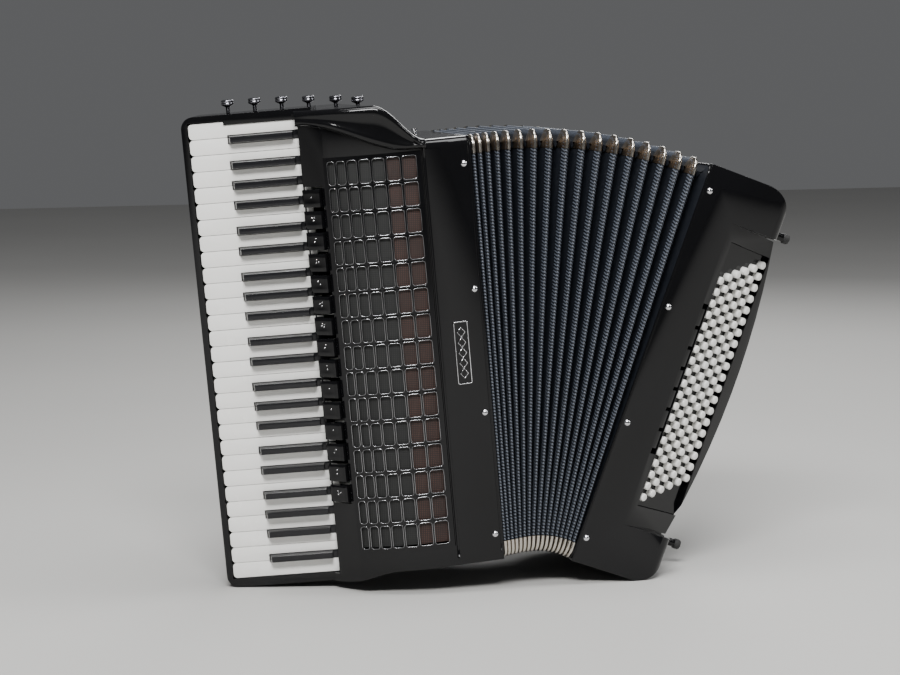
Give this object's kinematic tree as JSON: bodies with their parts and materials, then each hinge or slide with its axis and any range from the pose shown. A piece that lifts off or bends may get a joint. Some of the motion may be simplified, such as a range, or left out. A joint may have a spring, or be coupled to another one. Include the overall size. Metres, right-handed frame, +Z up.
{
  "type": "piano accordion",
  "caption": "Black piano accordion standing on the floor with its bellows fanned open: ivory keyboard, windowed grille, chrome trim, white bass buttons.",
  "frame": {"origin": "on the floor, in the middle of the instrument as it stands open", "axes": "+Z up, +X from the keyboard towards the bass side, -Y towards the viewer of the grille"},
  "size_m": [0.7364, 0.2126, 0.5773],
  "materials": {
    "black_lacquer": "glossy",
    "white_keys": "glossy",
    "black_keys": "glossy",
    "chrome_trim": "polished",
    "gunmetal": "satin",
    "grille_mesh": "woven",
    "bellows_cloth": "woven",
    "bellows_card": "matte",
    "reed_wood": "satin",
    "plate_metal": "brushed",
    "strap_leather": "grained",
    "white_buttons": "glossy",
    "rubber_feet": "matte"
  },
  "bodies": {
    "treble": {"treble_case": "black_lacquer", "treble_back_cover": "black_lacquer", "keyboard_frame": "black_lacquer", "key_axle": "plate_metal", "foundation_plate": "plate_metal", "treble_reed_blocks": "reed_wood", "treble_grille": "black_lacquer", "grille_screen": "grille_mesh", "treble_fittings": "chrome_trim", "treble_bellows_frame": "black_lacquer", "bellows_leaves": "bellows_card"},
    "bass": {"bass_bellows_frame": "black_lacquer", "bass_case": "black_lacquer", "bass_button_plate": "black_lacquer", "bass_mechanism": "plate_metal", "bass_reed_blocks": "reed_wood", "bass_fittings": "chrome_trim", "bass_feet": "rubber_feet", "bass_strap": "strap_leather"},
    "fold_01_body": {"fold_01": "bellows_cloth"},
    "fold_02_body": {"fold_02": "bellows_cloth"},
    "fold_03_body": {"fold_03": "bellows_cloth"},
    "fold_04_body": {"fold_04": "bellows_cloth"},
    "fold_05_body": {"fold_05": "bellows_cloth"},
    "fold_06_body": {"fold_06": "bellows_cloth"},
    "fold_07_body": {"fold_07": "bellows_cloth"},
    "fold_08_body": {"fold_08": "bellows_cloth"},
    "fold_09_body": {"fold_09": "bellows_cloth"},
    "fold_10_body": {"fold_10": "bellows_cloth"},
    "fold_11_body": {"fold_11": "bellows_cloth"},
    "fold_12_body": {"fold_12": "bellows_cloth"},
    "fold_13_body": {"fold_13": "bellows_cloth"},
    "fold_14_body": {"fold_14": "bellows_cloth"},
    "fold_15_body": {"fold_15": "bellows_cloth"},
    "fold_16_body": {"fold_16": "bellows_cloth"},
    "fold_17_body": {"fold_17": "bellows_cloth"},
    "key_d_body": {"key_d": "white_keys"},
    "key_e_body": {"key_e": "white_keys"},
    "key_f_body": {"key_f": "white_keys"},
    "key_g_body": {"key_g": "white_keys"},
    "key_a_body": {"key_a": "white_keys"},
    "key_b_body": {"key_b": "white_keys"},
    "key_c_body": {"key_c": "white_keys"},
    "key_d_sharp_body": {"key_d_sharp": "black_keys"},
    "key_f_sharp_body": {"key_f_sharp": "black_keys"},
    "key_g_sharp_body": {"key_g_sharp": "black_keys"},
    "key_a_sharp_body": {"key_a_sharp": "black_keys"},
    "key_c_sharp_body": {"key_c_sharp": "black_keys"},
    "treble_registers_body": {"treble_registers": "black_lacquer"},
    "chin_registers_body": {"chin_registers": "gunmetal"},
    "bass_registers_body": {"bass_registers": "black_lacquer"},
    "air_button_body": {"air_button": "white_buttons"},
    "strap_wheel_body": {"strap_wheel": "gunmetal"},
    "buttons_counterbass_body": {"buttons_counterbass": "white_buttons"},
    "buttons_fundamental_body": {"buttons_fundamental": "white_buttons"},
    "buttons_major_body": {"buttons_major": "white_buttons"},
    "buttons_minor_body": {"buttons_minor": "white_buttons"},
    "buttons_seventh_body": {"buttons_seventh": "white_buttons"},
    "buttons_diminished_body": {"buttons_diminished": "white_buttons"}
  },
  "joints": [
    {"name": "bellows_fan", "type": "hinge", "parent": "treble", "child": "bass", "pos_m": [0.03095, -0.0037, 0.01423], "axis": [0, 1, 0], "range_deg": [-25.2, 20], "deforming": ["bellows_leaves"]},
    {"name": "fold_01_turn", "type": "hinge", "parent": "treble", "child": "fold_01_body", "pos_m": [0.03095, -0.0037, 0.01423], "axis": [0, 1, 0], "range_deg": [-0.415, 0.371], "deforming": ["bellows_leaves"]},
    {"name": "fold_02_turn", "type": "hinge", "parent": "treble", "child": "fold_02_body", "pos_m": [0.03095, -0.0037, 0.01423], "axis": [0, 1, 0], "range_deg": [-0.83, 0.7], "deforming": ["bellows_leaves"]},
    {"name": "fold_03_turn", "type": "hinge", "parent": "treble", "child": "fold_03_body", "pos_m": [0.03095, -0.0037, 0.01423], "axis": [0, 1, 0], "range_deg": [-1.44, 1.18], "deforming": ["bellows_leaves"]},
    {"name": "fold_04_turn", "type": "hinge", "parent": "treble", "child": "fold_04_body", "pos_m": [0.03095, -0.0037, 0.01423], "axis": [0, 1, 0], "range_deg": [-2.25, 1.82], "deforming": ["bellows_leaves"]},
    {"name": "fold_05_turn", "type": "hinge", "parent": "treble", "child": "fold_05_body", "pos_m": [0.03095, -0.0037, 0.01423], "axis": [0, 1, 0], "range_deg": [-3.25, 2.62], "deforming": ["bellows_leaves"]},
    {"name": "fold_06_turn", "type": "hinge", "parent": "treble", "child": "fold_06_body", "pos_m": [0.03095, -0.0037, 0.01423], "axis": [0, 1, 0], "range_deg": [-4.45, 3.58], "deforming": ["bellows_leaves"]},
    {"name": "fold_07_turn", "type": "hinge", "parent": "treble", "child": "fold_07_body", "pos_m": [0.03095, -0.0037, 0.01423], "axis": [0, 1, 0], "range_deg": [-5.85, 4.69], "deforming": ["bellows_leaves"]},
    {"name": "fold_08_turn", "type": "hinge", "parent": "treble", "child": "fold_08_body", "pos_m": [0.03095, -0.0037, 0.01423], "axis": [0, 1, 0], "range_deg": [-7.45, 5.96], "deforming": ["bellows_leaves"]},
    {"name": "fold_09_turn", "type": "hinge", "parent": "treble", "child": "fold_09_body", "pos_m": [0.03095, -0.0037, 0.01423], "axis": [0, 1, 0], "range_deg": [-9.25, 7.38], "deforming": ["bellows_leaves"]},
    {"name": "fold_10_turn", "type": "hinge", "parent": "treble", "child": "fold_10_body", "pos_m": [0.03095, -0.0037, 0.01423], "axis": [0, 1, 0], "range_deg": [-11.04, 8.8], "deforming": ["bellows_leaves"]},
    {"name": "fold_11_turn", "type": "hinge", "parent": "treble", "child": "fold_11_body", "pos_m": [0.03095, -0.0037, 0.01423], "axis": [0, 1, 0], "range_deg": [-12.84, 10.23], "deforming": ["bellows_leaves"]},
    {"name": "fold_12_turn", "type": "hinge", "parent": "treble", "child": "fold_12_body", "pos_m": [0.03095, -0.0037, 0.01423], "axis": [0, 1, 0], "range_deg": [-14.63, 11.65], "deforming": ["bellows_leaves"]},
    {"name": "fold_13_turn", "type": "hinge", "parent": "treble", "child": "fold_13_body", "pos_m": [0.03095, -0.0037, 0.01423], "axis": [0, 1, 0], "range_deg": [-16.43, 13.08], "deforming": ["bellows_leaves"]},
    {"name": "fold_14_turn", "type": "hinge", "parent": "treble", "child": "fold_14_body", "pos_m": [0.03095, -0.0037, 0.01423], "axis": [0, 1, 0], "range_deg": [-18.22, 14.5], "deforming": ["bellows_leaves"]},
    {"name": "fold_15_turn", "type": "hinge", "parent": "treble", "child": "fold_15_body", "pos_m": [0.03095, -0.0037, 0.01423], "axis": [0, 1, 0], "range_deg": [-20.02, 15.93], "deforming": ["bellows_leaves"]},
    {"name": "fold_16_turn", "type": "hinge", "parent": "treble", "child": "fold_16_body", "pos_m": [0.03095, -0.0037, 0.01423], "axis": [0, 1, 0], "range_deg": [-21.81, 17.35], "deforming": ["bellows_leaves"]},
    {"name": "fold_17_turn", "type": "hinge", "parent": "treble", "child": "fold_17_body", "pos_m": [0.03095, -0.0037, 0.01423], "axis": [0, 1, 0], "range_deg": [-23.61, 18.77], "deforming": ["bellows_leaves"]},
    {"name": "key_d_dip", "type": "hinge", "parent": "treble", "child": "key_d_body", "pos_m": [-0.21182, -0.02577, 0.26988], "axis": [0.0802, 0, -0.9968], "range_deg": [0, 1.8], "stiffness_Nm_per_rad": 2, "springref_deg": -11.46},
    {"name": "key_e_dip", "type": "hinge", "parent": "treble", "child": "key_e_body", "pos_m": [-0.21182, -0.02577, 0.26988], "axis": [0.0802, 0, -0.9968], "range_deg": [0, 1.8], "stiffness_Nm_per_rad": 2, "springref_deg": -11.46},
    {"name": "key_f_dip", "type": "hinge", "parent": "treble", "child": "key_f_body", "pos_m": [-0.21182, -0.02577, 0.26988], "axis": [0.0802, 0, -0.9968], "range_deg": [0, 1.8], "stiffness_Nm_per_rad": 2, "springref_deg": -11.46},
    {"name": "key_g_dip", "type": "hinge", "parent": "treble", "child": "key_g_body", "pos_m": [-0.21182, -0.02577, 0.26988], "axis": [0.0802, 0, -0.9968], "range_deg": [0, 1.8], "stiffness_Nm_per_rad": 2, "springref_deg": -11.46},
    {"name": "key_a_dip", "type": "hinge", "parent": "treble", "child": "key_a_body", "pos_m": [-0.21182, -0.02577, 0.26988], "axis": [0.0802, 0, -0.9968], "range_deg": [0, 1.8], "stiffness_Nm_per_rad": 2, "springref_deg": -11.46},
    {"name": "key_b_dip", "type": "hinge", "parent": "treble", "child": "key_b_body", "pos_m": [-0.21182, -0.02577, 0.26988], "axis": [0.0802, 0, -0.9968], "range_deg": [0, 1.8], "stiffness_Nm_per_rad": 2, "springref_deg": -11.46},
    {"name": "key_c_dip", "type": "hinge", "parent": "treble", "child": "key_c_body", "pos_m": [-0.21182, -0.02577, 0.26988], "axis": [0.0802, 0, -0.9968], "range_deg": [0, 1.8], "stiffness_Nm_per_rad": 2, "springref_deg": -11.46},
    {"name": "key_d_sharp_dip", "type": "hinge", "parent": "treble", "child": "key_d_sharp_body", "pos_m": [-0.21182, -0.02577, 0.26988], "axis": [0.0802, 0, -0.9968], "range_deg": [0, 1.8], "stiffness_Nm_per_rad": 2, "springref_deg": -11.46},
    {"name": "key_f_sharp_dip", "type": "hinge", "parent": "treble", "child": "key_f_sharp_body", "pos_m": [-0.21182, -0.02577, 0.26988], "axis": [0.0802, 0, -0.9968], "range_deg": [0, 1.8], "stiffness_Nm_per_rad": 2, "springref_deg": -11.46},
    {"name": "key_g_sharp_dip", "type": "hinge", "parent": "treble", "child": "key_g_sharp_body", "pos_m": [-0.21182, -0.02577, 0.26988], "axis": [0.0802, 0, -0.9968], "range_deg": [0, 1.8], "stiffness_Nm_per_rad": 2, "springref_deg": -11.46},
    {"name": "key_a_sharp_dip", "type": "hinge", "parent": "treble", "child": "key_a_sharp_body", "pos_m": [-0.21182, -0.02577, 0.26988], "axis": [0.0802, 0, -0.9968], "range_deg": [0, 1.8], "stiffness_Nm_per_rad": 2, "springref_deg": -11.46},
    {"name": "key_c_sharp_dip", "type": "hinge", "parent": "treble", "child": "key_c_sharp_body", "pos_m": [-0.21182, -0.02577, 0.26988], "axis": [0.0802, 0, -0.9968], "range_deg": [0, 1.8], "stiffness_Nm_per_rad": 2, "springref_deg": -11.46},
    {"name": "treble_register_press", "type": "slide", "parent": "treble", "child": "treble_registers_body", "axis": [0.7759, 0.6278, 0.0624], "range_m": [0, 0.002]},
    {"name": "chin_register_press", "type": "slide", "parent": "treble", "child": "chin_registers_body", "axis": [0.0802, 0, -0.9968], "range_m": [0, 0.004]},
    {"name": "bass_register_press", "type": "slide", "parent": "bass", "child": "bass_registers_body", "axis": [-0.4821, 0.8572, 0.1812], "range_m": [0, 0.0025]},
    {"name": "buttons_counterbass_press", "type": "slide", "parent": "bass", "child": "buttons_counterbass_body", "axis": [-0.4821, 0.8572, 0.1812], "range_m": [0, 0.004], "stiffness_N_per_m": 200, "springref_m": -0.01},
    {"name": "buttons_fundamental_press", "type": "slide", "parent": "bass", "child": "buttons_fundamental_body", "axis": [-0.4821, 0.8572, 0.1812], "range_m": [0, 0.004], "stiffness_N_per_m": 200, "springref_m": -0.01},
    {"name": "buttons_major_press", "type": "slide", "parent": "bass", "child": "buttons_major_body", "axis": [-0.4821, 0.8572, 0.1812], "range_m": [0, 0.004], "stiffness_N_per_m": 200, "springref_m": -0.01},
    {"name": "buttons_minor_press", "type": "slide", "parent": "bass", "child": "buttons_minor_body", "axis": [-0.4821, 0.8572, 0.1812], "range_m": [0, 0.004], "stiffness_N_per_m": 200, "springref_m": -0.01},
    {"name": "buttons_seventh_press", "type": "slide", "parent": "bass", "child": "buttons_seventh_body", "axis": [-0.4821, 0.8572, 0.1812], "range_m": [0, 0.004], "stiffness_N_per_m": 200, "springref_m": -0.01},
    {"name": "buttons_diminished_press", "type": "slide", "parent": "bass", "child": "buttons_diminished_body", "axis": [-0.4821, 0.8572, 0.1812], "range_m": [0, 0.004], "stiffness_N_per_m": 200, "springref_m": -0.01},
    {"name": "air_button_press", "type": "slide", "parent": "bass", "child": "air_button_body", "axis": [-0.9361, 0, 0.3518], "range_m": [0, 0.005], "stiffness_N_per_m": 200, "springref_m": -0.01},
    {"name": "strap_wheel_turn", "type": "hinge", "parent": "bass", "child": "strap_wheel_body", "pos_m": [0.34755, 0.0283, 0.41314], "axis": [0, 1, 0], "continuous": true}
  ],
  "couplings": [
    {"joint": "fold_01_turn", "follows": "bellows_fan", "ratio": 0.00855},
    {"joint": "fold_02_turn", "follows": "bellows_fan", "ratio": 0.02493},
    {"joint": "fold_03_turn", "follows": "bellows_fan", "ratio": 0.04915},
    {"joint": "fold_04_turn", "follows": "bellows_fan", "ratio": 0.0812},
    {"joint": "fold_05_turn", "follows": "bellows_fan", "ratio": 0.12108},
    {"joint": "fold_06_turn", "follows": "bellows_fan", "ratio": 0.1688},
    {"joint": "fold_07_turn", "follows": "bellows_fan", "ratio": 0.22436},
    {"joint": "fold_08_turn", "follows": "bellows_fan", "ratio": 0.28775},
    {"joint": "fold_09_turn", "follows": "bellows_fan", "ratio": 0.35897},
    {"joint": "fold_10_turn", "follows": "bellows_fan", "ratio": 0.4302},
    {"joint": "fold_11_turn", "follows": "bellows_fan", "ratio": 0.50142},
    {"joint": "fold_12_turn", "follows": "bellows_fan", "ratio": 0.57265},
    {"joint": "fold_13_turn", "follows": "bellows_fan", "ratio": 0.64387},
    {"joint": "fold_14_turn", "follows": "bellows_fan", "ratio": 0.7151},
    {"joint": "fold_15_turn", "follows": "bellows_fan", "ratio": 0.78632},
    {"joint": "fold_16_turn", "follows": "bellows_fan", "ratio": 0.85755},
    {"joint": "fold_17_turn", "follows": "bellows_fan", "ratio": 0.92877}
  ]
}
